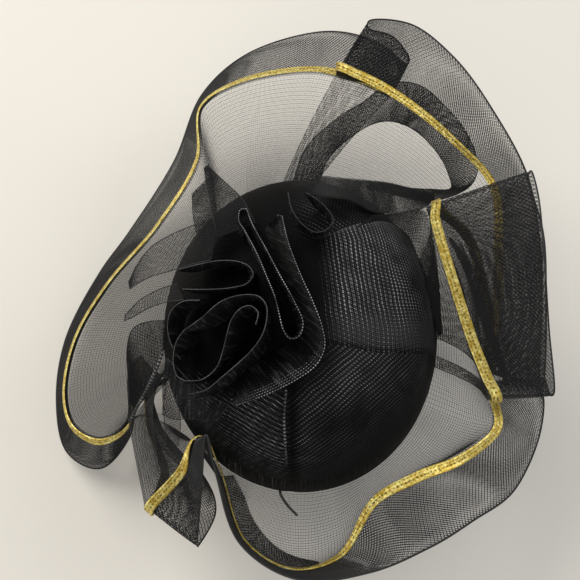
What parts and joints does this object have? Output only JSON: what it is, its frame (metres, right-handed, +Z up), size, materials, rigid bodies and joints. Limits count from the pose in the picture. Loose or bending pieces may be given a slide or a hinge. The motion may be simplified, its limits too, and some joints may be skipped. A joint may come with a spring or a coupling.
{
  "type": "church hat",
  "caption": "Black sheer mesh dress hat with a gathered domed crown, a wide wavy folded brim edged with gold braid, and a looped mesh flower.",
  "frame": {"origin": "centre of the head opening, in the plane of the crown's rim, where a head holds the hat", "axes": "+Z up along the crown's axis, -Y towards the wearer's face side, +X towards the wearer's left"},
  "size_m": [0.2945, 0.3603, 0.1692],
  "materials": {
    "crown_mesh": "stiff open mesh, gathered over a closed cap",
    "brim_mesh": "sheer stiff open mesh",
    "flower_mesh": "stiff open mesh with corded edges",
    "gold_braid": "metallic ribbed weave"
  },
  "bodies": {
    "root": {"crown_cap": "crown_mesh", "crown_drape": "crown_mesh", "brim": "brim_mesh", "gold_braid": "gold_braid", "petal_outer": "flower_mesh", "petal_long": "flower_mesh", "rose_loop": "flower_mesh", "rose_inner": "flower_mesh", "petal_side": "flower_mesh", "petal_left": "flower_mesh", "petal_back": "flower_mesh", "leaf_upper": "flower_mesh", "leaf_lower": "flower_mesh", "leaf_low": "flower_mesh", "under_loop": "brim_mesh"}
  },
  "joints": []
}
